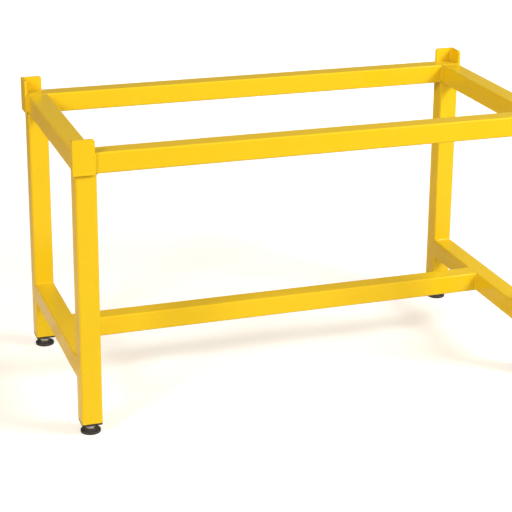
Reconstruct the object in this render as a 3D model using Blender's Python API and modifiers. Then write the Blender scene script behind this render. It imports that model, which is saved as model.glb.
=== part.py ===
"""Floor stand for a hazardous-substance cabinet: a welded square-tube frame on four levelling feet.

The stand's origin is on the floor, under the middle of the frame. X runs along the front,
Y runs from front to back and Z is up. All lengths are in metres.
"""
import math

import bmesh
import bpy
from mathutils import Matrix

# Driving dimensions of the frame
STAND_WIDTH = 0.915
STAND_DEPTH = 0.457
RAIL_TOP = 0.530
STRETCHER_TOP = 0.138
LEG_BOTTOM = 0.022
TUBE = 0.038
TUBE_WALL = 0.0015
TUBE_CORNER = 0.003

# Corner angles that keep the cabinet on the rails
ANGLE_LEG = 0.040
ANGLE_SHORT_LEG = 0.010
ANGLE_THICKNESS = 0.005
ANGLE_STANDS_PROUD = 0.026
ANGLE_ROOT = 0.001
ANGLE_CLIP = 0.0045

# Threaded inserts in the ends of the legs
INSERT_LIP = 0.0035
INSERT_LIP_SIDE = 0.0376
INSERT_DEPTH = 0.028
INSERT_CORE_SIDE = 0.030
INSERT_RIB_SIDE = 0.0342
INSERT_RIB_CORNER = 0.0014
INSERT_RIBS = 5
INSERT_RIB_HEIGHT = 0.002
INSERT_RIB_PITCH = 0.005
INSERT_FIRST_RIB = 0.0035

# Levelling feet, for an M8 stud
STUD_RADIUS = 0.0038
STUD_TOP = 0.050
STUD_TIP_CHAMFER = 0.001
STUD_FLANGE_RADIUS = 0.0058
STUD_FLANGE_HEIGHT = 0.0032
NUT_ACROSS_FLATS = 0.013
ADJUSTING_NUT_HEIGHT = 0.005
CAPTIVE_NUT_HEIGHT = 0.0065
CAPTIVE_NUT_BASE = 0.0245
PAD_RADIUS = 0.0185
PAD_RIM = 0.0045
PAD_HUB_RADIUS = 0.0095
PAD_HEIGHT = 0.007
PAD_FLOOR = 0.0025
PAD_EDGE = 0.0008

# Meshes that touch keep this gap
GAP = 0.0003

CORNER_STEPS = 3
ROUND_STEPS = 16
PAD_STEPS = 32

YELLOW_POWDER_COAT = ("yellow_powder_coat", (0.93, 0.60, 0.02, 1.0), 0.32, 0.0)
BLACK_PLASTIC = ("black_plastic", (0.035, 0.034, 0.033, 1.0), 0.50, 0.0)
ZINC_PLATE = ("zinc_plate", (0.72, 0.73, 0.72, 1.0), 0.30, 1.0)


def clear_scene():
    for item in list(bpy.data.objects):
        bpy.data.objects.remove(item)


def finish(name_colour_rough_metal, node_name):
    """Each part has a material of its own, in one of the stand's three finishes."""
    name, colour, rough, metal = name_colour_rough_metal
    material = bpy.data.materials.new(f"{name}_{node_name}")
    material.use_nodes = True
    shader = material.node_tree.nodes["Principled BSDF"]
    shader.inputs["Base Color"].default_value = colour
    shader.inputs["Roughness"].default_value = rough
    shader.inputs["Metallic"].default_value = metal
    material.diffuse_color = colour
    return material


def mesh_of(item, name):
    """The evaluated mesh of a working object, welded, in the object's own place."""
    graph = bpy.context.evaluated_depsgraph_get()
    mesh = bpy.data.meshes.new_from_object(item.evaluated_get(graph))
    mesh.transform(item.matrix_world)
    mesh.materials.clear()
    mesh.name = name
    shape = bmesh.new()
    shape.from_mesh(mesh)
    bmesh.ops.remove_doubles(shape, verts=shape.verts, dist=1e-6)
    shape.to_mesh(mesh)
    shape.free()
    bpy.data.objects.remove(item)
    return mesh


def working_object(name, data):
    item = bpy.data.objects.new(name, data)
    bpy.context.scene.collection.objects.link(item)
    return item


def place(stand, name, mesh, look, location=(0, 0, 0), rotation=(0, 0, 0)):
    """Puts a part in the stand under its own name, with its own material."""
    part = bpy.data.objects.new(name, mesh.copy())
    part.data.materials.append(finish(look, name))
    part.data.shade_smooth()
    part.data.set_sharp_from_angle(angle=math.radians(30))
    part.location = location
    part.rotation_euler = rotation
    stand.objects.link(part)
    return part


def rounded_square(side, corner):
    """Outline of a square with round corners, centred on its axis."""
    reach = side / 2 - corner
    points = []
    for quarter in range(4):
        centre_angle = math.pi / 4 + quarter * math.pi / 2
        cx = math.copysign(reach, math.cos(centre_angle))
        cy = math.copysign(reach, math.sin(centre_angle))
        for step in range(CORNER_STEPS + 1):
            angle = quarter * math.pi / 2 + step / CORNER_STEPS * math.pi / 2
            points.append((cx + corner * math.cos(angle), cy + corner * math.sin(angle)))
    return points


def extrusion(name, outlines, length):
    """A straight bar of the given outlines along Z, from z = 0 to its length."""
    curve = bpy.data.curves.new(name, "CURVE")
    curve.dimensions = "2D"
    curve.fill_mode = "BOTH"
    curve.extrude = length / 2
    for outline in outlines:
        spline = curve.splines.new("POLY")
        spline.points.add(len(outline) - 1)
        for point, (x, y) in zip(spline.points, outline):
            point.co = (x, y, 0, 1)
        spline.use_cyclic_u = True
    item = working_object(name, curve)
    item.matrix_world = Matrix.Translation((0, 0, length / 2))
    bpy.context.view_layer.update()
    return mesh_of(item, name)


def square_tube(name, length):
    outside = rounded_square(TUBE, TUBE_CORNER)
    inside = rounded_square(TUBE - 2 * TUBE_WALL, TUBE_CORNER - TUBE_WALL)
    return extrusion(name, [outside, inside], length)


def turned(name, profile, steps):
    """A closed shape turned about Z from (radius, height) points listed from the top down."""
    mesh = bpy.data.meshes.new(name)
    edges = [(i, i + 1) for i in range(len(profile) - 1)]
    mesh.from_pydata([(radius, 0, height) for radius, height in profile], edges, [])
    item = working_object(name, mesh)
    screw = item.modifiers.new("turn", "SCREW")
    screw.steps = steps
    screw.render_steps = steps
    screw.use_merge_vertices = True
    screw.merge_threshold = 1e-5
    return mesh_of(item, name)


def cylinder(name, radius, low, high, sides, turn=0.0):
    mesh = bpy.data.meshes.new(name)
    shape = bmesh.new()
    spin = Matrix.Translation((0, 0, (low + high) / 2)) @ Matrix.Rotation(turn, 4, "Z")
    bmesh.ops.create_cone(
        shape,
        cap_ends=True,
        segments=sides,
        radius1=radius,
        radius2=radius,
        depth=high - low,
        matrix=spin,
    )
    shape.to_mesh(mesh)
    shape.free()
    return working_object(name, mesh)


def carve(item, cutter, operation):
    boolean = item.modifiers.new(operation.lower(), "BOOLEAN")
    boolean.solver = "EXACT"
    boolean.operation = operation
    boolean.object = cutter


def hexagon_radius(across_flats):
    return across_flats / math.sqrt(3)


def hex_nut(name, low, high):
    """A hexagon with a clear hole for the stud."""
    nut = cylinder(name, hexagon_radius(NUT_ACROSS_FLATS), low, high, 6)
    hole = cylinder("nut_hole", STUD_RADIUS + GAP, low - GAP, high + GAP, ROUND_STEPS)
    carve(nut, hole, "DIFFERENCE")
    bpy.context.view_layer.update()
    mesh = mesh_of(nut, name)
    bpy.data.objects.remove(hole)
    return mesh


def corner_angle_mesh(leg_x, leg_y):
    """A length of angle with its corner at the origin and its full legs clipped at the free top."""
    root = ANGLE_THICKNESS + ANGLE_ROOT
    fillet = []
    for step in range(3):
        turn = math.pi * 1.5 - step * math.pi / 4
        fillet.append((root + ANGLE_ROOT * math.cos(turn), root + ANGLE_ROOT * math.sin(turn)))
    outline = [(0, 0), (leg_x, 0), (leg_x, ANGLE_THICKNESS)]
    outline += fillet
    outline += [(ANGLE_THICKNESS, leg_y), (0, leg_y)]
    length = TUBE + ANGLE_STANDS_PROUD
    mesh = extrusion("corner_angle", [outline], length)
    shape = bmesh.new()
    shape.from_mesh(mesh)
    bmesh.ops.dissolve_limit(shape, angle_limit=0.01, verts=shape.verts, edges=shape.edges)
    free_corners = []
    for edge in shape.edges:
        at_top = all(abs(v.co.z - length) < GAP for v in edge.verts)
        at_x_end = all(abs(v.co.x - ANGLE_LEG) < GAP for v in edge.verts)
        at_y_end = all(abs(v.co.y - ANGLE_LEG) < GAP for v in edge.verts)
        if at_top and (at_x_end or at_y_end):
            free_corners.append(edge)
    bmesh.ops.bevel(shape, geom=free_corners, offset=ANGLE_CLIP, segments=1, affect="EDGES")
    shape.to_mesh(mesh)
    shape.free()
    return mesh


def leg_insert_mesh():
    """Ribbed plug with a lip, a through hole for the stud and a pocket that holds the nut."""
    lip_side = rounded_square(INSERT_LIP_SIDE, TUBE_CORNER)
    rib_side = rounded_square(INSERT_RIB_SIDE, INSERT_RIB_CORNER)
    core_side = rounded_square(INSERT_CORE_SIDE, INSERT_RIB_CORNER)
    lip_base = LEG_BOTTOM - GAP - INSERT_LIP
    lip = working_object("lip", extrusion("lip", [lip_side], INSERT_LIP))
    lip.location.z = lip_base
    core = working_object("core", extrusion("core", [core_side], INSERT_DEPTH + INSERT_LIP / 2))
    core.location.z = lip_base + INSERT_LIP / 2
    pieces = [core]
    for number in range(INSERT_RIBS):
        rib = working_object("rib", extrusion("rib", [rib_side], INSERT_RIB_HEIGHT))
        rib.location.z = LEG_BOTTOM + INSERT_FIRST_RIB + number * INSERT_RIB_PITCH
        pieces.append(rib)
    for piece in pieces:
        carve(lip, piece, "UNION")
    top = LEG_BOTTOM + INSERT_DEPTH + GAP
    bore = cylinder("bore", STUD_RADIUS + 2 * GAP, lip_base - GAP, top, ROUND_STEPS)
    pocket_radius = hexagon_radius(NUT_ACROSS_FLATS + 2 * GAP)
    pocket_low = CAPTIVE_NUT_BASE - GAP
    pocket_high = CAPTIVE_NUT_BASE + CAPTIVE_NUT_HEIGHT + GAP
    pocket = cylinder("pocket", pocket_radius, pocket_low, pocket_high, 6)
    carve(lip, bore, "DIFFERENCE")
    carve(lip, pocket, "DIFFERENCE")
    bpy.context.view_layer.update()
    mesh = mesh_of(lip, "leg_insert")
    for piece in pieces + [bore, pocket]:
        bpy.data.objects.remove(piece)
    return mesh


def foot_pad_mesh():
    """Round pad whose hollow hub holds the stud's flange, so that the stud turns in it."""
    neck = STUD_RADIUS + GAP
    socket = STUD_FLANGE_RADIUS + GAP
    ceiling = PAD_FLOOR + STUD_FLANGE_HEIGHT + 2 * GAP
    profile = [
        (0, PAD_FLOOR),
        (socket, PAD_FLOOR),
        (socket, ceiling),
        (neck, ceiling),
        (neck, PAD_HEIGHT),
        (PAD_HUB_RADIUS - PAD_EDGE, PAD_HEIGHT),
        (PAD_HUB_RADIUS, PAD_HEIGHT - PAD_EDGE),
        (PAD_RADIUS - PAD_EDGE, PAD_RIM),
        (PAD_RADIUS, PAD_RIM - PAD_EDGE),
        (PAD_RADIUS, PAD_EDGE),
        (PAD_RADIUS - PAD_EDGE, 0),
        (0, 0),
    ]
    return turned("foot_pad", profile, PAD_STEPS)


def foot_stud_mesh():
    """Plain bar at the thread's diameter, with the flange that sits in the pad."""
    flange_base = PAD_FLOOR + GAP
    flange_top = flange_base + STUD_FLANGE_HEIGHT
    profile = [
        (0, STUD_TOP),
        (STUD_RADIUS - STUD_TIP_CHAMFER, STUD_TOP),
        (STUD_RADIUS, STUD_TOP - STUD_TIP_CHAMFER),
        (STUD_RADIUS, flange_top),
        (STUD_FLANGE_RADIUS, flange_top),
        (STUD_FLANGE_RADIUS, flange_base),
        (0, flange_base),
    ]
    return turned("foot_stud", profile, ROUND_STEPS)


def build_frame(stand):
    """The top ring, the legs and the H of lower stretchers, all cut from the same tube."""
    along_x = (0, math.pi / 2, 0)
    along_y = (-math.pi / 2, 0, 0)
    tube_x = STAND_WIDTH / 2 - TUBE / 2
    tube_y = STAND_DEPTH / 2 - TUBE / 2
    rail_z = RAIL_TOP - TUBE / 2
    stretcher_z = STRETCHER_TOP - TUBE / 2
    side_length = STAND_DEPTH - 2 * TUBE - 2 * GAP
    cross_length = STAND_WIDTH - 2 * TUBE - 2 * GAP
    rail = square_tube("long_rail", STAND_WIDTH)
    side = square_tube("side_tube", side_length)
    cross = square_tube("cross_tube", cross_length)
    leg = square_tube("leg_tube", RAIL_TOP - TUBE - GAP - LEG_BOTTOM)
    for end, sign in (("front", -1), ("rear", 1)):
        start = (-STAND_WIDTH / 2, sign * tube_y, rail_z)
        place(stand, f"{end}_top_rail", rail, YELLOW_POWDER_COAT, start, along_x)
        for hand, turn in (("left", -1), ("right", 1)):
            base = (turn * tube_x, sign * tube_y, LEG_BOTTOM)
            place(stand, f"{end}_{hand}_leg", leg, YELLOW_POWDER_COAT, base)
    for hand, turn in (("left", -1), ("right", 1)):
        upper = (turn * tube_x, -side_length / 2, rail_z)
        lower = (turn * tube_x, -side_length / 2, stretcher_z)
        place(stand, f"{hand}_top_rail", side, YELLOW_POWDER_COAT, upper, along_y)
        place(stand, f"{hand}_side_stretcher", side, YELLOW_POWDER_COAT, lower, along_y)
    middle = (-cross_length / 2, 0, stretcher_z)
    place(stand, "long_stretcher", cross, YELLOW_POWDER_COAT, middle, along_x)


def build_corners(stand):
    """At each corner: the locating angle, and the insert, nuts, stud and pad of its foot."""
    full_angle = corner_angle_mesh(ANGLE_LEG, ANGLE_LEG)
    front_left_angle = corner_angle_mesh(ANGLE_LEG, ANGLE_SHORT_LEG)
    front_right_angle = corner_angle_mesh(ANGLE_SHORT_LEG, ANGLE_LEG)
    insert = leg_insert_mesh()
    nut_base = PAD_HEIGHT + GAP
    adjusting_nut = hex_nut("adjusting_nut", nut_base, nut_base + ADJUSTING_NUT_HEIGHT)
    captive_top = CAPTIVE_NUT_BASE + CAPTIVE_NUT_HEIGHT
    captive_nut = hex_nut("captive_nut", CAPTIVE_NUT_BASE, captive_top)
    stud = foot_stud_mesh()
    pad = foot_pad_mesh()
    reach_x = STAND_WIDTH / 2 + ANGLE_THICKNESS + GAP
    reach_y = STAND_DEPTH / 2 + ANGLE_THICKNESS + GAP
    corners = (
        ("front_left", -1, -1, 0, front_left_angle),
        ("front_right", 1, -1, math.pi / 2, front_right_angle),
        ("rear_right", 1, 1, math.pi, full_angle),
        ("rear_left", -1, 1, math.pi * 1.5, full_angle),
    )
    for corner, sign_x, sign_y, turn, angle in corners:
        at_angle = (sign_x * reach_x, sign_y * reach_y, RAIL_TOP - TUBE)
        place(stand, f"{corner}_corner_angle", angle, YELLOW_POWDER_COAT, at_angle, (0, 0, turn))
        foot = (
            sign_x * (STAND_WIDTH / 2 - TUBE / 2),
            sign_y * (STAND_DEPTH / 2 - TUBE / 2),
            0,
        )
        place(stand, f"{corner}_leg_insert", insert, BLACK_PLASTIC, foot)
        place(stand, f"{corner}_captive_nut", captive_nut, ZINC_PLATE, foot)
        place(stand, f"{corner}_foot_stud", stud, ZINC_PLATE, foot)
        place(stand, f"{corner}_adjusting_nut", adjusting_nut, ZINC_PLATE, foot)
        place(stand, f"{corner}_foot_pad", pad, BLACK_PLASTIC, foot)


def main():
    clear_scene()
    stand = bpy.data.collections.new("cabinet_floor_stand")
    bpy.context.scene.collection.children.link(stand)
    build_frame(stand)
    build_corners(stand)


main()
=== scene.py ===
import math
import random

import bmesh
import bpy
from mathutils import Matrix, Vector


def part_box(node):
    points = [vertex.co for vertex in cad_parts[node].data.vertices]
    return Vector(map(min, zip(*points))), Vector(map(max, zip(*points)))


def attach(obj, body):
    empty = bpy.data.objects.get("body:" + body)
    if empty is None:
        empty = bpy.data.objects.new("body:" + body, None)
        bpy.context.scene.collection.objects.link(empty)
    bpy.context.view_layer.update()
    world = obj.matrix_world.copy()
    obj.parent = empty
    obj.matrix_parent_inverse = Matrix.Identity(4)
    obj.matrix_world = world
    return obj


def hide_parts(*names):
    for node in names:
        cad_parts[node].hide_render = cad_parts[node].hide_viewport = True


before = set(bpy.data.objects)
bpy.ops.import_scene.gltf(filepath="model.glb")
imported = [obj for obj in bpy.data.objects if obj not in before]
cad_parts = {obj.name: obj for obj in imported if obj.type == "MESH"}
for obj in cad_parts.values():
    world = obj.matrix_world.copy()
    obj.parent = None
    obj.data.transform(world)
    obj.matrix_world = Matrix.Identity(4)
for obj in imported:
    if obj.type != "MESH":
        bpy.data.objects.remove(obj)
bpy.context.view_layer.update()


# Camera: a tripod camera with a long lens, a little above and to the left of the stand's front.
# The lens is shifted down and to the left, so that the whole left end and both left feet are in view.
camera_lens = bpy.data.cameras.new("stand_camera")
camera_lens.sensor_width = 36
camera_lens.lens = 112.8
camera_lens.shift_x = -0.0390625
camera_lens.shift_y = -0.109375
camera = bpy.data.objects.new("stand_camera", camera_lens)
camera.location = (-0.9971, -2.8035, 1.3158)
camera.rotation_euler = [math.radians(turn) for turn in (71.703, -0.639, -19.115)]
bpy.context.scene.collection.objects.link(camera)
bpy.context.scene.camera = camera
bpy.context.scene.view_settings.view_transform = "Standard"


# Studio: a sheet of white background paper on the floor, a soft box on each side in front of the
# stand, a weaker one behind it, and a warm glow from a wall at the left. The pale room is bright in
# front and dimmer behind and overhead.
paper_radius = 9.0
paper_points = 96
paper_white = (0.57, 0.565, 0.56)
paper_shade = (0.55, 0.545, 0.535)
# Painted shade: the paper is greyer away from the stand, and a warm painted glow that only the camera sees
# lifts it back to white.
paper_far_shade = (0.20, 0.195, 0.185)
paper_fade_start = 0.6
paper_fade_end = 2.0
paper_near_glow = 0.60
paper_far_glow = 1.12
paper_glow_tint = (1.0, 0.94, 0.86)
soft_box_white = (0.95, 0.985, 0.96)
wall_glow = (1.0, 0.64, 0.28)
room_white = (1.0, 0.88, 0.75)
lamp_target_height = 0.25
room_depth_span = (-0.95, 0.3)
room_depth_light = (1.65, 0.26)
room_height_span = (0.12, 0.8)
room_height_light = (1.0, 0.22)


def effect_group(name, numbers, outputs):
    """An empty shader effect with named number inputs and outputs, and its first nodes."""
    group = bpy.data.node_groups.new(name, "ShaderNodeTree")
    for label, value in numbers.items():
        socket = group.interface.new_socket(label, in_out="INPUT", socket_type="NodeSocketFloat")
        socket.default_value = value
    for label in outputs:
        group.interface.new_socket(label, in_out="OUTPUT", socket_type="NodeSocketFloat")
    return group, group.nodes.new("NodeGroupInput"), group.nodes.new("NodeGroupOutput")


def value_math(nodes, links, operation, first, second, clamp=False):
    """One Math node; first and second are sockets or plain numbers. Gives its output socket."""
    node = nodes.new("ShaderNodeMath")
    node.operation = operation
    node.use_clamp = clamp
    for socket, source in zip(node.inputs, (first, second)):
        if isinstance(source, (int, float)):
            socket.default_value = source
        else:
            links.new(source, socket)
    return node.outputs[0]


def mapped(nodes, links, source, span, levels):
    """Carries a value over from a span to a pair of levels, held at both ends. Gives its socket."""
    node = nodes.new("ShaderNodeMapRange")
    for label, value in zip(("From Min", "From Max", "To Min", "To Max"), (*span, *levels)):
        node.inputs[label].default_value = value
    links.new(source, node.inputs["Value"])
    return node.outputs["Result"]


def mottle_effect():
    """Slow cloudy change in tone, from 0 to 1, around 0.5."""
    group, entry, exit_node = effect_group("soft_mottle", {"Scale": 6.0, "Contrast": 1.0}, ["Mask"])
    nodes, links = group.nodes, group.links
    place = nodes.new("ShaderNodeTexCoord")
    noise = nodes.new("ShaderNodeTexNoise")
    noise.inputs["Detail"].default_value = 4.0
    noise.inputs["Roughness"].default_value = 0.55
    links.new(place.outputs["Object"], noise.inputs["Vector"])
    links.new(entry.outputs["Scale"], noise.inputs["Scale"])
    centred = value_math(nodes, links, "SUBTRACT", noise.outputs["Fac"], 0.5)
    spread = value_math(nodes, links, "MULTIPLY", centred, entry.outputs["Contrast"])
    links.new(value_math(nodes, links, "ADD", spread, 0.5, True), exit_node.inputs["Mask"])
    return group


soft_mottle = mottle_effect()


def place_effect(material, group, **numbers):
    """Puts an effect in a material with its own values."""
    node = material.node_tree.nodes.new("ShaderNodeGroup")
    node.node_tree = group
    for label, value in numbers.items():
        node.inputs[label.replace("_", " ")].default_value = value
    return node


def blended_colour(material, mask, first, second):
    """A colour that goes from first to second with the mask. Gives its output socket."""
    nodes, links = material.node_tree.nodes, material.node_tree.links
    mix = nodes.new("ShaderNodeMix")
    mix.data_type = "RGBA"
    links.new(mask, mix.inputs["Factor"])
    for socket, source in ((mix.inputs["A"], first), (mix.inputs["B"], second)):
        if isinstance(source, tuple):
            socket.default_value = (*source, 1.0)
        else:
            links.new(source, socket)
    return mix.outputs["Result"]


def new_material(name):
    """A material with only its Principled shader. Gives both."""
    material = bpy.data.materials.new(name)
    material.use_nodes = True
    return material, material.node_tree.nodes["Principled BSDF"]


def paper_material():
    """Matt white paper with painted shade and light: greyer away from the stand so that its bounce and
    reflections darken far off, and a warm glow seen only by the camera, stronger far off, that lifts it to
    white and tints its shadows warm.
    """
    material, shader = new_material("background_paper")
    nodes, links = material.node_tree.nodes, material.node_tree.links
    place = nodes.new("ShaderNodeTexCoord")
    distance = nodes.new("ShaderNodeVectorMath")
    distance.operation = "LENGTH"
    links.new(place.outputs["Object"], distance.inputs[0])
    fade_span = (paper_fade_start, paper_fade_end)
    fade = mapped(nodes, links, distance.outputs["Value"], fade_span, (0.0, 1.0))
    clouds = place_effect(material, soft_mottle, Scale=1.4, Contrast=1.3)
    colour = blended_colour(material, clouds.outputs["Mask"], paper_shade, paper_white)
    colour = blended_colour(material, fade, colour, paper_far_shade)
    links.new(colour, shader.inputs["Base Color"])
    shader.inputs["Roughness"].default_value = 0.75
    shader.inputs["Specular IOR Level"].default_value = 0.1
    # Painted light: a glow seen only by the camera, stronger far off, whose warm tint shows in the shadows
    # on the paper.
    rise = value_math(nodes, links, "MULTIPLY", fade, paper_far_glow - paper_near_glow)
    level = value_math(nodes, links, "ADD", rise, paper_near_glow)
    seen = nodes.new("ShaderNodeLightPath")
    lift = value_math(nodes, links, "MULTIPLY", seen.outputs["Is Camera Ray"], level)
    shader.inputs["Emission Color"].default_value = (*paper_glow_tint, 1.0)
    links.new(lift, shader.inputs["Emission Strength"])
    return material


def lay_paper():
    """The round sheet of paper, as one flat face under the stand."""
    sheet = bmesh.new()
    bmesh.ops.create_circle(sheet, cap_ends=True, segments=paper_points, radius=paper_radius)
    mesh = bpy.data.meshes.new("background_paper")
    sheet.to_mesh(mesh)
    sheet.free()
    mesh.materials.append(paper_material())
    paper = bpy.data.objects.new("background_paper", mesh)
    bpy.context.scene.collection.objects.link(paper)
    return paper


lay_paper()


def hang_soft_box(name, azimuth, elevation, distance, spread, watts, colour):
    """A square lamp that points at the middle of the stand, with its width as a share of its distance."""
    lamp = bpy.data.lights.new(name, "AREA")
    lamp.shape = "SQUARE"
    lamp.size = spread * distance
    lamp.energy = watts
    lamp.color = colour
    box = bpy.data.objects.new(name, lamp)
    around, up = math.radians(azimuth), math.radians(elevation)
    away = Vector((math.sin(around) * math.cos(up), -math.cos(around) * math.cos(up), math.sin(up)))
    box.location = away * distance + Vector((0, 0, lamp_target_height))
    box.rotation_euler = away.to_track_quat("Z", "Y").to_euler()
    bpy.context.scene.collection.objects.link(box)
    return box


hang_soft_box("left_soft_box", azimuth=-53, elevation=32, distance=6.0, spread=0.22, watts=166,
              colour=soft_box_white)
hang_soft_box("right_soft_box", azimuth=52, elevation=36, distance=3.8, spread=0.32, watts=128,
              colour=soft_box_white)
hang_soft_box("left_wall_glow", azimuth=-100, elevation=10, distance=3.0, spread=0.8, watts=26,
              colour=wall_glow)
rear_soft_box = hang_soft_box("rear_soft_box", azimuth=140, elevation=16, distance=3.0, spread=0.4,
                              watts=32, colour=soft_box_white)
rear_soft_box.visible_glossy = False


def room_light():
    """The room: bright in front and at the horizon, dimmer behind and overhead."""
    room = bpy.data.worlds.new("studio_room")
    room.use_nodes = True
    nodes, links = room.node_tree.nodes, room.node_tree.links
    background = nodes["Background"]
    place = nodes.new("ShaderNodeTexCoord")
    parts = nodes.new("ShaderNodeSeparateXYZ")
    links.new(place.outputs["Generated"], parts.inputs["Vector"])
    depth = mapped(nodes, links, parts.outputs["Y"], room_depth_span, room_depth_light)
    height = mapped(nodes, links, parts.outputs["Z"], room_height_span, room_height_light)
    light = value_math(nodes, links, "MULTIPLY", depth, height)
    seen = nodes.new("ShaderNodeLightPath")
    shown = value_math(nodes, links, "MAXIMUM", light, seen.outputs["Is Camera Ray"])
    links.new(shown, background.inputs["Strength"])
    colour = nodes.new("ShaderNodeMix")
    colour.data_type = "RGBA"
    colour.inputs["A"].default_value = (*room_white, 1.0)
    colour.inputs["B"].default_value = (1.0, 1.0, 1.0, 1.0)
    links.new(seen.outputs["Is Camera Ray"], colour.inputs["Factor"])
    links.new(colour.outputs["Result"], background.inputs["Color"])
    bpy.context.scene.world = room


room_light()


# Tubes: the top ring, the four legs and the H of stretchers, all of 38 mm square steel tube with a
# 1.5 mm wall. They are sawn square and welded, both ends of the front rail are closed with a plate,
# and the whole frame is then powder coated in gloss yellow.
tube_wall = 0.0015
tube_corner = 0.003
sawn_edge = 0.0003
cap_thickness = 0.0015
cap_sinks = 0.0001
corner_steps = 8
coat_yellow = (0.765, 0.505, 0.011)
coat_deep = (0.745, 0.475, 0.010)
coat_thin = (0.68, 0.36, 0.005)
coat_dust = (0.80, 0.60, 0.22)
coat_roughness = (0.11, 0.17)
top_ring = ("front_top_rail", "rear_top_rail", "left_top_rail", "right_top_rail")
stretchers = ("left_side_stretcher", "right_side_stretcher", "long_stretcher")
corners = {
    "front_left": (-1, -1),
    "front_right": (1, -1),
    "rear_right": (1, 1),
    "rear_left": (-1, 1),
}
hands = {-1: "left", 1: "right"}


def grain_effect():
    """Height of a fine skin: broad soft waves with a share of finer grain on top."""
    numbers = {"Scale": 250.0, "Fine Scale": 1200.0, "Fine Share": 0.3}
    group, entry, exit_node = effect_group("fine_skin", numbers, ["Height"])
    nodes, links = group.nodes, group.links
    place = nodes.new("ShaderNodeTexCoord")
    waves = nodes.new("ShaderNodeTexNoise")
    waves.inputs["Detail"].default_value = 1.5
    fine = nodes.new("ShaderNodeTexNoise")
    fine.inputs["Detail"].default_value = 2.0
    for noise, label in ((waves, "Scale"), (fine, "Fine Scale")):
        links.new(place.outputs["Object"], noise.inputs["Vector"])
        links.new(entry.outputs[label], noise.inputs["Scale"])
    share = value_math(nodes, links, "MULTIPLY", fine.outputs["Fac"], entry.outputs["Fine Share"])
    height = value_math(nodes, links, "ADD", waves.outputs["Fac"], share)
    links.new(height, exit_node.inputs["Height"])
    return group


def edge_effect():
    """A mask of the corners and edges of a piece, where a coat runs thin and hands rub."""
    group, entry, exit_node = effect_group("edge_band", {"Width": 0.002, "Strength": 3.0}, ["Mask"])
    nodes, links = group.nodes, group.links
    rounded = nodes.new("ShaderNodeBevel")
    rounded.samples = 4
    links.new(entry.outputs["Width"], rounded.inputs["Radius"])
    plain = nodes.new("ShaderNodeNewGeometry")
    alike = nodes.new("ShaderNodeVectorMath")
    alike.operation = "DOT_PRODUCT"
    links.new(rounded.outputs["Normal"], alike.inputs[0])
    links.new(plain.outputs["Normal"], alike.inputs[1])
    turned = value_math(nodes, links, "SUBTRACT", 1.0, alike.outputs["Value"])
    band = value_math(nodes, links, "MULTIPLY", turned, entry.outputs["Strength"], True)
    links.new(band, exit_node.inputs["Mask"])
    return group


def dust_effect():
    """A patchy mask of faces that look up, where dust settles."""
    group, entry, exit_node = effect_group("settled_dust", {"Scale": 30.0, "Amount": 0.3}, ["Mask"])
    nodes, links = group.nodes, group.links
    place = nodes.new("ShaderNodeTexCoord")
    patches = nodes.new("ShaderNodeTexNoise")
    patches.inputs["Detail"].default_value = 5.0
    links.new(place.outputs["Object"], patches.inputs["Vector"])
    links.new(entry.outputs["Scale"], patches.inputs["Scale"])
    plain = nodes.new("ShaderNodeNewGeometry")
    parts = nodes.new("ShaderNodeSeparateXYZ")
    links.new(plain.outputs["Normal"], parts.inputs["Vector"])
    upward = value_math(nodes, links, "MULTIPLY", parts.outputs["Z"], entry.outputs["Amount"], True)
    dust = value_math(nodes, links, "MULTIPLY", upward, patches.outputs["Fac"], True)
    links.new(dust, exit_node.inputs["Mask"])
    return group


fine_skin = grain_effect()
edge_band = edge_effect()
settled_dust = dust_effect()


def roughness_range(material, mask, levels):
    """A roughness that goes from the first level to the second with the mask. Gives its socket."""
    return mapped(material.node_tree.nodes, material.node_tree.links, mask, (0.0, 1.0), levels)


def dusty_roughness(material, shader, clouds, dust, levels):
    """Gives the shader a cloudy roughness that the dust adds to."""
    nodes, links = material.node_tree.nodes, material.node_tree.links
    rough = roughness_range(material, clouds.outputs["Mask"], levels)
    rough = value_math(nodes, links, "ADD", rough, dust.outputs["Mask"], True)
    links.new(rough, shader.inputs["Roughness"])


def skin_bump(material, shader, depth, strength, **numbers):
    """Gives the shader the fine skin as bump, with the depth in metres."""
    nodes, links = material.node_tree.nodes, material.node_tree.links
    skin = place_effect(material, fine_skin, **numbers)
    bump = nodes.new("ShaderNodeBump")
    bump.inputs["Strength"].default_value = strength
    bump.inputs["Distance"].default_value = depth
    links.new(skin.outputs["Height"], bump.inputs["Height"])
    links.new(bump.outputs["Normal"], shader.inputs["Normal"])


def powder_coat():
    """Gloss yellow powder coat: orange peel, thinner on the edges, faint dust on top."""
    material, shader = new_material("yellow_powder_coat")
    clouds = place_effect(material, soft_mottle, Scale=9.0, Contrast=1.6)
    edges = place_effect(material, edge_band, Width=0.0022, Strength=1.6)
    dust = place_effect(material, settled_dust, Scale=45.0, Amount=0.05)
    colour = blended_colour(material, clouds.outputs["Mask"], coat_deep, coat_yellow)
    colour = blended_colour(material, edges.outputs["Mask"], colour, coat_thin)
    colour = blended_colour(material, dust.outputs["Mask"], colour, coat_dust)
    material.node_tree.links.new(colour, shader.inputs["Base Color"])
    dusty_roughness(material, shader, clouds, dust, coat_roughness)
    shader.inputs["Specular IOR Level"].default_value = 0.24
    skin_bump(material, shader, depth=0.0003, strength=0.05,
              Scale=220.0, Fine_Scale=900.0, Fine_Share=0.15)
    return material


yellow_coat = powder_coat()


def toward(sign, low, high):
    """The bound that a sign points to: the low one for -1 and the high one for 1."""
    return low if sign < 0 else high


def rounded_square(side, corner):
    """Outline of a square with round corners, centred on its axis."""
    reach = side / 2 - corner
    points = []
    for quarter in range(4):
        middle = math.pi / 4 + quarter * math.pi / 2
        centre_x = math.copysign(reach, math.cos(middle))
        centre_y = math.copysign(reach, math.sin(middle))
        for step in range(corner_steps + 1):
            angle = (quarter + step / corner_steps) * math.pi / 2
            points.append((centre_x + corner * math.cos(angle), centre_y + corner * math.sin(angle)))
    return points


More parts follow.
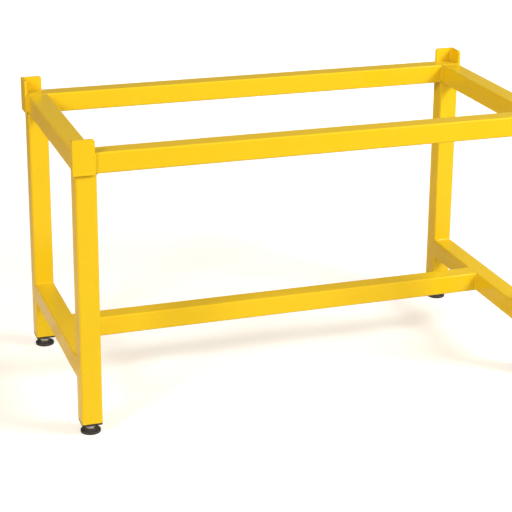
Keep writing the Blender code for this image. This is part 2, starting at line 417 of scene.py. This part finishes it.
def loft(shape, rings, joined):
    """Skins rings of points into a bmesh. joined runs back to the first ring, otherwise the ends close."""
    made = [[shape.verts.new(point) for point in ring] for ring in rings]
    count = len(made[0])
    pairs = list(zip(made, made[1:]))
    if joined:
        pairs.append((made[-1], made[0]))
    for lower, upper in pairs:
        for i in range(count):
            j = (i + 1) % count
            shape.faces.new((lower[i], lower[j], upper[j], upper[i]))
    if not joined:
        shape.faces.new(made[0])
        shape.faces.new(made[-1])


def finished_piece(name, shape, material, body, nodes, sharp=50):
    """Turns a bmesh into a smooth piece that rides on a body and stands in for its CAD nodes."""
    bmesh.ops.recalc_face_normals(shape, faces=shape.faces)
    mesh = bpy.data.meshes.new(name)
    shape.to_mesh(mesh)
    shape.free()
    mesh.shade_smooth()
    mesh.set_sharp_from_angle(angle=math.radians(sharp))
    mesh.materials.append(material)
    piece = bpy.data.objects.new(name, mesh)
    bpy.context.scene.collection.objects.link(piece)
    normals = piece.modifiers.new("flat_faces", "WEIGHTED_NORMAL")
    normals.keep_sharp = True
    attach(piece, body)
    if nodes:
        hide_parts(*nodes)
    return piece


def sawn_tube(node):
    """One length of square tube in place of a CAD node, along the node's longest side."""
    low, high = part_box(node)
    size = high - low
    along = max(range(3), key=lambda side: size[side])
    middle = (low + high) / 2
    side = size[(along + 1) % 3]
    bore = side - 2 * tube_wall
    start, end = low[along], high[along]
    sections = (
        (side - 2 * sawn_edge, tube_corner, start),
        (side, tube_corner, start + sawn_edge),
        (side, tube_corner, end - sawn_edge),
        (side - 2 * sawn_edge, tube_corner, end),
        (bore + sawn_edge, tube_corner - tube_wall, end),
        (bore, tube_corner - tube_wall, end - sawn_edge),
        (bore, tube_corner - tube_wall, start + sawn_edge),
        (bore + sawn_edge, tube_corner - tube_wall, start),
    )
    rings = []
    for width, corner, level in sections:
        ring = []
        for across, up in rounded_square(width, corner):
            point = Vector(middle)
            point[along] = level
            point[(along + 1) % 3] += across
            point[(along + 2) % 3] += up
            ring.append(point)
        rings.append(ring)
    shape = bmesh.new()
    loft(shape, rings, True)
    finished_piece(f"{node}_tube", shape, yellow_coat, "frame", [node])


def end_cap(node, sign, hand):
    """A square plate let into one open end of a tube along X, welded round and ground smooth."""
    low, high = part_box(node)
    end = toward(sign, low.x, high.x)
    bore = high.z - low.z - 2 * tube_wall
    middle = (low + high) / 2
    sections = (
        (bore - sawn_edge, cap_thickness),
        (bore, cap_thickness - sawn_edge),
        (bore, cap_sinks + sawn_edge),
        (bore - sawn_edge, cap_sinks),
    )
    rings = []
    for width, depth in sections:
        outline = rounded_square(width, tube_corner - tube_wall)
        rings.append([(end - sign * depth, middle.y + y, middle.z + z) for y, z in outline])
    shape = bmesh.new()
    loft(shape, rings, False)
    finished_piece(f"{node}_{hand}_cap", shape, yellow_coat, "frame", [])


for node in top_ring + stretchers:
    sawn_tube(node)
for sign, hand in hands.items():
    end_cap("front_top_rail", sign, hand)
for corner in corners:
    sawn_tube(f"{corner}_leg")


# Corner angles: short lengths of 40 mm hot rolled steel angle that stand above the rails and keep
# the cabinet in place. The two at the front have their side leg sawn short. They are welded on.
angle_thickness = 0.005
angle_full_leg = 0.040
angle_root = 0.004
angle_toe = 0.0022
angle_clip = 0.0055
clip_leans = (30, 60)
angle_edge = 0.0007
toe_steps = 4
root_steps = 5
soft_edge_steps = 3
soft_edge_turn = 40


def arc(centre_x, centre_y, radius, first, last, steps):
    """Points along an arc, with the angles in degrees."""
    turns = [math.radians(first + (last - first) * step / steps) for step in range(steps + 1)]
    return [(centre_x + radius * math.cos(turn), centre_y + radius * math.sin(turn)) for turn in turns]


def rolled(leg):
    """Whether a leg still has its rolled toe, and isn't sawn short."""
    return leg > angle_full_leg - angle_toe


def angle_outline(leg_x, leg_y):
    """Section of the angle with its corner at the origin: round toes, and a fillet at the root."""
    root = angle_thickness + angle_root
    toe = angle_thickness - angle_toe
    outline = [(0, 0), (leg_x, 0)]
    if rolled(leg_x):
        outline += arc(leg_x - angle_toe, toe, angle_toe, 0, 90, toe_steps)
    else:
        outline.append((leg_x, angle_thickness))
    outline += arc(root, root, angle_root, 270, 180, root_steps)
    if rolled(leg_y):
        outline += arc(toe, leg_y - angle_toe, angle_toe, 0, 90, toe_steps)
    else:
        outline.append((angle_thickness, leg_y))
    outline.append((0, leg_y))
    return outline


def corner_angle(corner, sign_x, sign_y):
    """The angle at one corner of the ring. Its full legs are rounded off at their free top corners."""
    low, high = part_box(f"{corner}_corner_angle")
    size = high - low
    shape = bmesh.new()
    outline = angle_outline(size.x, size.y)
    loft(shape, [[(x, y, level) for x, y in outline] for level in (0.0, size.z)], False)
    for way, leg in ((Vector((1, 0, 0)), size.x), (Vector((0, 1, 0)), size.y)):
        if not rolled(leg):
            continue
        for lean in clip_leans:
            slope = math.radians(lean)
            outward = way * math.cos(slope) + Vector((0, 0, math.sin(slope)))
            middle = way * (leg - angle_clip) + Vector((0, 0, size.z - angle_clip))
            bmesh.ops.bisect_plane(
                shape,
                geom=list(shape.verts) + list(shape.edges) + list(shape.faces),
                plane_co=middle + outward * angle_clip,
                plane_no=outward,
                clear_outer=True,
            )
            open_edges = [edge for edge in shape.edges if edge.is_boundary]
            bmesh.ops.holes_fill(shape, edges=open_edges, sides=0)
    corner_x = toward(sign_x, low.x, high.x)
    corner_y = toward(sign_y, low.y, high.y)
    for vertex in shape.verts:
        x, y, z = vertex.co
        vertex.co = (corner_x - sign_x * x, corner_y - sign_y * y, low.z + z)
    piece = finished_piece(f"{corner}_angle_plate", shape, yellow_coat, "frame",
                           [f"{corner}_corner_angle"])
    soften = piece.modifiers.new("soft_edges", "BEVEL")
    soften.width = angle_edge
    soften.segments = soft_edge_steps
    soften.limit_method = "ANGLE"
    soften.angle_limit = math.radians(soft_edge_turn)
    piece.modifiers.move(1, 0)


for corner, (sign_x, sign_y) in corners.items():
    corner_angle(corner, sign_x, sign_y)


# Welds: MIG beads at every joint, laid before coating. Inside corners keep a rounded fillet, and the
# joints that lie flush with a face are ground to a low, slightly proud strip.
fillet_leg = 0.0028
plate_fillet_leg = 0.0014
ground_width = 0.0052
ground_height = 0.00035
ring_top_height = 0.0008
ground_root = 0.0012
angle_fillet_leg = 0.0036
angle_fillet_root = 0.0022
ripple_pitch = 0.0019
fillet_ripple = 0.09
ground_ripple = 0.25
joint_gap = 0.0003
section_steps = 6
fillet_swell = 0.7
section_dip = 0.0001
ripple_stations = 4
fewest_stations = 10
crescent_lag = 0.35
bead_end_share = 0.45
# Slow waver of a bead: radians per metre, swing, and how many times its drift shifts the wave.
bead_waves = ((310, 0.05, 1), (730, 0.03, 2))
ring_groove_inset = tube_corner * 0.35
ring_groove_overrun = 0.001
leg_bead_inset = tube_corner * 0.8
stretcher_groove_inset = tube_corner * 0.3
stretcher_bead_inset = tube_corner * 0.7
welder = random.Random(38)


def fillet_section(leg):
    """Closed section of a fillet as (along a, along b, how exposed), with its root in the corner."""
    section = [(-joint_gap, -joint_gap, 0.0)]
    for step in range(section_steps + 1):
        turn = math.radians(90 * step / section_steps)
        swell = leg / (math.cos(turn) + math.sin(turn)) ** fillet_swell
        exposed = math.sin(2 * turn)
        edge_dip = -section_dip * (1 - exposed)
        section.append((
            swell * math.cos(turn) + (edge_dip if step == section_steps else 0.0),
            swell * math.sin(turn) + (edge_dip if step == 0 else 0.0),
            exposed,
        ))
    return section


def ground_section(height=ground_height):
    """Closed section of a ground strip as (across, out of the face, how exposed)."""
    section = [(-ground_width / 2, -ground_root, 0.0)]
    for step in range(section_steps + 1):
        turn = math.pi * step / section_steps
        rise = height * math.sin(turn) - section_dip
        section.append((-ground_width / 2 * math.cos(turn), rise, math.sin(turn)))
    section.append((ground_width / 2, -ground_root, 0.0))
    return section


def lay_bead(shape, start, end, side_a, side_b, section, ripple):
    """Sweeps a closed weld section along a straight joint, with crescent ripples and soft ends."""
    start, end, side_a, side_b = (Vector(v) for v in (start, end, side_a, side_b))
    length = (end - start).length
    along = (end - start) / length
    stations = max(fewest_stations, round(length / ripple_pitch * ripple_stations))
    drift = welder.uniform(0, 6)
    rings = []
    for station in range(stations + 1):
        run = length * station / stations
        to_end = max(0.0, min(run, length - run)) / ripple_pitch
        soft_end = bead_end_share + (1 - bead_end_share) * min(1.0, math.sqrt(to_end))
        uneven = 1 + sum(swing * math.sin(run * rate + shift * drift) for rate, swing, shift in bead_waves)
        ring = []
        for a, b, exposed in section:
            phase = (run / ripple_pitch - crescent_lag * exposed) * 2 * math.pi + drift
            lift = 1 + exposed * ripple * math.sin(phase)
            reach = uneven * soft_end if exposed > 0 else 1.0
            ring.append(start + along * run + (side_a * a + side_b * b * lift) * reach)
        rings.append(ring)
    loft(shape, rings, False)


def weld_piece(name, shape):
    """The beads of one joint as a coated piece, with its ripples shaded smooth."""
    finished_piece(name, shape, yellow_coat, "frame", [], sharp=75)


def top_ring_welds():
    """Each side rail to the front and rear rails: inside fillets, and ground strips where flush."""
    for corner, (sign_x, sign_y) in corners.items():
        low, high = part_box(f"{hands[sign_x]}_top_rail")
        joint_y = sign_y * (high.y + joint_gap / 2)
        inner_x = toward(-sign_x, low.x, high.x)
        outer_x = toward(sign_x, low.x, high.x)
        inward_x, inward_y = (-sign_x, 0, 0), (0, -sign_y, 0)
        shape = bmesh.new()
        lay_bead(shape, (inner_x, joint_y, low.z + tube_corner), (inner_x, joint_y, high.z - tube_corner),
                 inward_x, inward_y, fillet_section(fillet_leg), fillet_ripple)
        groove_y = joint_y + sign_y * ring_groove_inset
        lay_bead(shape, (outer_x - sign_x * tube_corner, groove_y, high.z),
                 (inner_x + sign_x * ring_groove_overrun, groove_y, high.z),
                 (0, 1, 0), (0, 0, 1), ground_section(ring_top_height), ground_ripple)
        lay_bead(shape, (outer_x, joint_y, low.z + tube_corner), (outer_x, joint_y, high.z - tube_corner),
                 (0, 1, 0), (sign_x, 0, 0), ground_section(), ground_ripple)
        weld_piece(f"{corner}_ring_weld", shape)


def leg_top_welds():
    """Each leg to the rails above it: fillets on the two inner sides of the leg."""
    for corner, (sign_x, sign_y) in corners.items():
        low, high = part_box(f"{corner}_leg")
        inner_x = toward(-sign_x, low.x, high.x)
        inner_y = toward(-sign_y, low.y, high.y)
        level = high.z + joint_gap
        inset = leg_bead_inset
        shape = bmesh.new()
        lay_bead(shape, (inner_x, low.y + inset, level), (inner_x, high.y - inset, level),
                 (-sign_x, 0, 0), (0, 0, -1), fillet_section(fillet_leg), fillet_ripple)
        lay_bead(shape, (low.x + inset, inner_y, level), (high.x - inset, inner_y, level),
                 (0, -sign_y, 0), (0, 0, -1), fillet_section(fillet_leg), fillet_ripple)
        weld_piece(f"{corner}_leg_weld", shape)


def angle_welds():
    """Each corner angle to the ring: in the groove on top, up the free ends, and under its legs."""
    ring_low, ring_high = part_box("front_top_rail")
    groove = ring_high.z - angle_fillet_root
    under = ring_low.z
    inset = tube_corner
    for corner, (sign_x, sign_y) in corners.items():
        low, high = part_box(f"{corner}_corner_angle")
        leg_low, leg_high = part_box(f"{corner}_leg")
        inner_x = toward(sign_x, low.x, high.x) - sign_x * angle_thickness
        inner_y = toward(sign_y, low.y, high.y) - sign_y * angle_thickness
        end_x = toward(-sign_x, low.x, high.x)
        end_y = toward(-sign_y, low.y, high.y)
        under_x = toward(-sign_x, leg_low.x, leg_high.x)
        under_y = toward(-sign_y, leg_low.y, leg_high.y)
        if abs(end_y - inner_y) < abs(under_y - inner_y):
            under_y = end_y
        shape = bmesh.new()
        for start, end, side_a, side_b, leg in (
            ((inner_x - sign_x * inset, inner_y, groove), (end_x, inner_y, groove),
             (0, -sign_y, 0), (0, 0, 1), angle_fillet_leg),
            ((inner_x, inner_y - sign_y * inset, groove), (inner_x, end_y, groove),
             (-sign_x, 0, 0), (0, 0, 1), angle_fillet_leg),
            ((end_x, inner_y, under + inset), (end_x, inner_y, groove),
             (-sign_x, 0, 0), (0, sign_y, 0), fillet_leg),
            ((inner_x, end_y, under + inset), (inner_x, end_y, groove),
             (0, -sign_y, 0), (sign_x, 0, 0), fillet_leg),
            ((inner_x - sign_x * inset, inner_y - sign_y * joint_gap, under),
             (under_x + sign_x * inset, inner_y - sign_y * joint_gap, under),
             (0, sign_y, 0), (0, 0, -1), plate_fillet_leg),
            ((inner_x - sign_x * joint_gap, inner_y - sign_y * inset, under),
             (inner_x - sign_x * joint_gap, under_y + sign_y * inset, under),
             (sign_x, 0, 0), (0, 0, -1), plate_fillet_leg),
        ):
            if (Vector(end) - Vector(start)).length > inset:
                lay_bead(shape, start, end, side_a, side_b, fillet_section(leg), fillet_ripple)
        weld_piece(f"{corner}_angle_weld", shape)


def stretcher_welds():
    """Side stretchers to the legs, and the long stretcher to the side stretchers."""
    for corner, (sign_x, sign_y) in corners.items():
        low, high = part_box(f"{hands[sign_x]}_side_stretcher")
        face_y = sign_y * (high.y + joint_gap)
        shape = bmesh.new()
        for level, out in ((high.z, (0, 0, 1)), (low.z, (0, 0, -1))):
            lay_bead(shape, (low.x + tube_corner, face_y, level), (high.x - tube_corner, face_y, level),
                     (0, -sign_y, 0), out, fillet_section(fillet_leg), fillet_ripple)
        groove_y = face_y + sign_y * stretcher_groove_inset
        for wall, out in ((low.x, (-1, 0, 0)), (high.x, (1, 0, 0))):
            lay_bead(shape, (wall, groove_y, low.z + stretcher_bead_inset),
                     (wall, groove_y, high.z - stretcher_bead_inset),
                     (0, 1, 0), out, ground_section(), ground_ripple)
        weld_piece(f"{corner}_stretcher_weld", shape)
    low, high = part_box("long_stretcher")
    for sign, hand in hands.items():
        face_x = sign * (high.x + joint_gap)
        shape = bmesh.new()
        for wall, out in ((low.y, (0, -1, 0)), (high.y, (0, 1, 0))):
            lay_bead(shape, (face_x, wall, low.z + stretcher_bead_inset),
                     (face_x, wall, high.z - stretcher_bead_inset),
                     (-sign, 0, 0), out, fillet_section(fillet_leg), fillet_ripple)
        groove_x = face_x + sign * stretcher_groove_inset
        for level, out in ((high.z, (0, 0, 1)), (low.z, (0, 0, -1))):
            lay_bead(shape, (groove_x, low.y + tube_corner, level), (groove_x, high.y - tube_corner, level),
                     (1, 0, 0), out, ground_section(), ground_ripple)
        weld_piece(f"long_stretcher_{hand}_weld", shape)


top_ring_welds()
leg_top_welds()
angle_welds()
stretcher_welds()


# Leg inserts: square ribbed plugs moulded in black polyamide, pushed into the legs. Each has a lip
# that covers the sawn end, a through hole for the stud and a pocket that holds a nut.
insert_core = 0.030
insert_rib = 0.0342
insert_rib_corner = 0.0014
insert_ribs = 5
insert_rib_height = 0.002
insert_rib_pitch = 0.005
insert_first_rib = 0.0038
insert_bore = 0.0044
insert_lip = 0.0035
insert_lip_edge = 0.0006
# Steps of the lip's rounded lower edge, in edge sizes: taken off its width, and up from its face.
insert_lip_round = ((2, 0), (0.6, 0.3), (0, 1))
insert_rib_lead = 0.0002
insert_rib_taper = 0.0006
insert_points = 120
pocket_clearance = 0.0003
insert_black = (0.018, 0.0175, 0.017)
insert_grey = (0.028, 0.027, 0.026)
plastic_scuff = (0.075, 0.073, 0.070)
plastic_dust = (0.16, 0.15, 0.13)
insert_roughness = (0.40, 0.52)


def moulded_plastic(name, dark, light, roughness, skin_scale):
    """Black moulded plastic: fine spark grain, paler on rubbed edges, a trace of dust on top."""
    material, shader = new_material(name)
    clouds = place_effect(material, soft_mottle, Scale=70.0, Contrast=1.8)
    edges = place_effect(material, edge_band, Width=0.0009, Strength=1.2)
    dust = place_effect(material, settled_dust, Scale=260.0, Amount=0.10)
    colour = blended_colour(material, clouds.outputs["Mask"], dark, light)
    colour = blended_colour(material, edges.outputs["Mask"], colour, plastic_scuff)
    colour = blended_colour(material, dust.outputs["Mask"], colour, plastic_dust)
    material.node_tree.links.new(colour, shader.inputs["Base Color"])
    dusty_roughness(material, shader, clouds, dust, roughness)
    skin_bump(material, shader, depth=0.00012, strength=0.35,
              Scale=skin_scale, Fine_Scale=skin_scale * 2.7, Fine_Share=0.5)
    return material


insert_plastic = moulded_plastic("black_insert_plastic", insert_black, insert_grey, insert_roughness,
                                 skin_scale=1500.0)


def polar_outline(outline_radius, count):
    """Points round a circle of directions at a radius that may depend on the direction."""
    turns = [2 * math.pi * i / count for i in range(count)]
    return [(outline_radius(t) * math.cos(t), outline_radius(t) * math.sin(t)) for t in turns]


def circle_ring(centre, radius, level, count):
    """Ring of points on a circle about a vertical axis."""
    return [(centre[0] + x, centre[1] + y, level) for x, y in polar_outline(lambda turn: radius, count)]


def square_radius(side, corner):
    """Distance from the axis to a rounded square, as a function of direction."""
    reach = side / 2 - corner

    def radius(turn):
        c, s = abs(math.cos(turn)), abs(math.sin(turn))
        flat = (side / 2) / max(c, s)
        if flat * min(c, s) <= reach:
            return flat
        along = reach * (c + s)
        return along + math.sqrt(max(0.0, along * along - 2 * reach * reach + corner * corner))

    return radius


def hexagon_radius(across_flats):
    """Distance from the axis to a hexagon, as a function of direction."""
    def radius(turn):
        sector = turn % (math.pi / 3) - math.pi / 6
        return across_flats / 2 / math.cos(sector)

    return radius


def leg_insert(corner):
    """The plug of one leg, from the underside of its lip up to its open top, with its bore."""
    low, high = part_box(f"{corner}_leg_insert")
    nut_low, nut_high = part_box(f"{corner}_captive_nut")
    foot_x, foot_y = (low.x + high.x) / 2, (low.y + high.y) / 2
    lip_side = high.x - low.x
    lip_top = low.z + insert_lip
    leg_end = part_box(f"{corner}_leg")[0].z
    edge = insert_lip_edge
    levels = [
        (square_radius(lip_side - cut * edge, tube_corner), low.z + rise * edge)
        for cut, rise in insert_lip_round
    ]
    levels += [
        (square_radius(lip_side, tube_corner), lip_top - edge / 3),
        (square_radius(lip_side - edge, tube_corner), lip_top),
        (square_radius(insert_core, insert_rib_corner), lip_top),
    ]
    for number in range(insert_ribs):
        base = leg_end + insert_first_rib + number * insert_rib_pitch
        levels += [
            (square_radius(insert_core, insert_rib_corner), base),
            (square_radius(insert_rib, insert_rib_corner), base + insert_rib_lead),
            (square_radius(insert_rib, insert_rib_corner), base + insert_rib_height - insert_rib_taper),
            (square_radius(insert_core, insert_rib_corner), base + insert_rib_height),
        ]
    pocket = hexagon_radius(nut_high.y - nut_low.y + 2 * pocket_clearance)
    plain_bore = square_radius(2 * insert_bore, insert_bore)
    levels += [
        (square_radius(insert_core - edge, insert_rib_corner), high.z),
        (square_radius(2 * insert_bore + edge, insert_bore + edge / 2), high.z),
        (plain_bore, high.z - edge),
        (plain_bore, nut_high.z + pocket_clearance),
        (pocket, nut_high.z + pocket_clearance),
        (pocket, nut_low.z - pocket_clearance),
        (plain_bore, nut_low.z - pocket_clearance),
        (plain_bore, low.z + edge),
        (square_radius(2 * insert_bore + edge, insert_bore + edge / 2), low.z),
    ]
    rings = []
    for radius, level in levels:
        rings.append([(foot_x + x, foot_y + y, level) for x, y in polar_outline(radius, insert_points)])
    shape = bmesh.new()
    loft(shape, rings, True)
    finished_piece(f"{corner}_insert_plug", shape, insert_plastic, "frame",
                   [f"{corner}_leg_insert"], sharp=35)


for corner in corners:
    leg_insert(corner)


# Nuts: M8 hexagon nuts in bright zinc plate. One is held in each insert's pocket, and a thin one on
# each stud is turned with a spanner to set the height. Both faces are chamfered.
nut_bore = 0.0041
nut_chamfer = math.tan(math.radians(30))
nut_face_share = 0.97
nut_countersink = 0.0004
nut_points = 96
zinc_cool = (0.80, 0.82, 0.84)
zinc_warm = (0.86, 0.84, 0.76)
zinc_worn = (0.92, 0.92, 0.91)
zinc_roughness = (0.30, 0.46)


def zinc_plating():
    """Bright zinc plate with a faint passivate tint, paler where tools touch its edges."""
    material, shader = new_material("zinc_plate")
    links = material.node_tree.links
    clouds = place_effect(material, soft_mottle, Scale=240.0, Contrast=2.2)
    edges = place_effect(material, edge_band, Width=0.0005, Strength=1.5)
    colour = blended_colour(material, clouds.outputs["Mask"], zinc_cool, zinc_warm)
    colour = blended_colour(material, edges.outputs["Mask"], colour, zinc_worn)
    links.new(colour, shader.inputs["Base Color"])
    links.new(roughness_range(material, clouds.outputs["Mask"], zinc_roughness), shader.inputs["Roughness"])
    shader.inputs["Metallic"].default_value = 1.0
    skin_bump(material, shader, depth=0.00005, strength=0.25,
              Scale=1800.0, Fine_Scale=5200.0, Fine_Share=0.4)
    return material


zinc_plate = zinc_plating()


def hex_nut(node, name, body):
    """A chamfered nut in place of a CAD node, with its corners cut back by a cone at both faces."""
    low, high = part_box(node)
    centre = (low.x + high.x) / 2, (low.y + high.y) / 2
    flats = high.y - low.y
    outline = polar_outline(hexagon_radius(flats), nut_points)
    face = flats / 2 * nut_face_share

    def circle(radius, level):
        return circle_ring(centre, radius, level, nut_points)

    def cone_cut(level, into):
        ring = []
        for x, y in outline:
            drop = (math.hypot(x, y) - face) * nut_chamfer
            ring.append((centre[0] + x, centre[1] + y, level + into * drop))
        return ring

    rings = [
        circle(nut_bore, low.z + nut_countersink),
        circle(nut_bore + nut_countersink, low.z),
        circle(face, low.z),
        cone_cut(low.z, 1),
        cone_cut(high.z, -1),
        circle(face, high.z),
        circle(nut_bore + nut_countersink, high.z),
        circle(nut_bore, high.z - nut_countersink),
    ]
    shape = bmesh.new()
    loft(shape, rings, True)
    finished_piece(name, shape, zinc_plate, body, [node], sharp=20)


for corner in corners:
    hex_nut(f"{corner}_captive_nut", f"{corner}_pocket_nut", "frame")
    hex_nut(f"{corner}_adjusting_nut", f"{corner}_height_nut", f"{corner}_stud")


# Foot studs: M8 studs, zinc plated like the nuts, that screw through the captive nuts. Each has a
# turned flange that sits in the pad, a plain neck, and a rolled thread from the pad up to its tip.
thread_radius = 0.0038
thread_pitch = 0.00125
thread_depth = 0.0006
thread_starts_below = 0.0006
thread_root_flat = 0.12
thread_flank = 0.74
thread_levels = 8
stud_points = 32
stud_flange_radius = 0.0058
stud_flange_height = 0.0032
stud_flange_edge = 0.0003
stud_tip = 0.0014


def thread_profile(share):
    """Height of the rolled thread from root to crest over one pitch, with narrow flats."""
    rise = 1 - abs(2 * share - 1)
    return min(1.0, max(0.0, (rise - thread_root_flat) / thread_flank))


def foot_stud(corner):
    """One stud: the flange, a plain neck, and the thread up to its chamfered tip."""
    low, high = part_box(f"{corner}_foot_stud")
    centre = (low.x + high.x) / 2, (low.y + high.y) / 2
    flange_top = low.z + stud_flange_height
    flange = (
        (stud_flange_radius - stud_flange_edge, low.z),
        (stud_flange_radius, low.z + stud_flange_edge),
        (stud_flange_radius, flange_top - stud_flange_edge),
        (stud_flange_radius - stud_flange_edge, flange_top),
        (thread_radius - thread_depth, flange_top),
    )
    rings = [circle_ring(centre, radius, level, stud_points) for radius, level in flange]
    thread_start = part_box(f"{corner}_foot_pad")[1].z - thread_starts_below
    count = round((high.z - thread_start) / thread_pitch * thread_levels)
    for step in range(1, count + 1):
        level = thread_start + (high.z - thread_start) * step / count
        fade = min(1.0, (level - thread_start) / thread_pitch, (high.z - level) / stud_tip)
        ring = []
        for i in range(stud_points):
            turn = 2 * math.pi * i / stud_points
            share = ((level - thread_start) / thread_pitch - i / stud_points) % 1.0
            radius = thread_radius - thread_depth * (1 - thread_profile(share) * fade)
            ring.append((centre[0] + radius * math.cos(turn), centre[1] + radius * math.sin(turn), level))
        rings.append(ring)
    shape = bmesh.new()
    loft(shape, rings, False)
    finished_piece(f"{corner}_threaded_stud", shape, zinc_plate, f"{corner}_stud",
                   [f"{corner}_foot_stud"], sharp=40)


for corner in corners:
    foot_stud(corner)


# Foot pads: round pads moulded in black polyamide with a raised hub that snaps over the stud's
# flange, so that the pad stays still on the floor while the stud turns in it.
pad_rim = 0.0045
pad_hub = 0.0095
pad_floor = 0.0025
pad_round = 0.0009
pad_foot_round = pad_round * 0.7
pad_hub_flare = 0.0005
pad_hub_flare_drop = 0.0008
pad_neck = 0.0041
pad_neck_edge = 0.0003
pad_round_steps = 4
pad_points = 96
pad_black = (0.020, 0.020, 0.0195)
pad_grey = (0.031, 0.031, 0.030)
pad_roughness = (0.34, 0.46)
pad_plastic = moulded_plastic("black_pad_plastic", pad_black, pad_grey, pad_roughness,
                              skin_scale=1100.0)


def foot_pad(corner):
    """One pad, turned from its socket over the hub, down the sloping top and round the rim."""
    low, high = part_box(f"{corner}_foot_pad")
    centre = (low.x + high.x) / 2, (low.y + high.y) / 2
    radius = (high.x - low.x) / 2
    socket = stud_flange_radius + joint_gap
    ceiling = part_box(f"{corner}_foot_stud")[0].z + stud_flange_height + joint_gap
    profile = [
        (socket, pad_floor),
        (socket, ceiling),
        (pad_neck, ceiling),
        (pad_neck, high.z - pad_neck_edge),
        (pad_neck + pad_neck_edge, high.z),
    ]
    profile += arc(pad_hub - pad_round, high.z - pad_round, pad_round, 90, 0, pad_round_steps)
    profile.append((pad_hub + pad_hub_flare, high.z - pad_round - pad_hub_flare_drop))
    profile += arc(radius - pad_round, pad_rim - pad_round, pad_round, 80, 0, pad_round_steps)
    profile += arc(radius - pad_foot_round, pad_foot_round, pad_foot_round, 0, -90, pad_round_steps)
    rings = [circle_ring(centre, reach, low.z + level, pad_points) for reach, level in profile]
    shape = bmesh.new()
    loft(shape, rings, False)
    finished_piece(f"{corner}_moulded_pad", shape, pad_plastic, f"{corner}_pad",
                   [f"{corner}_foot_pad"], sharp=40)


for corner in corners:
    foot_pad(corner)
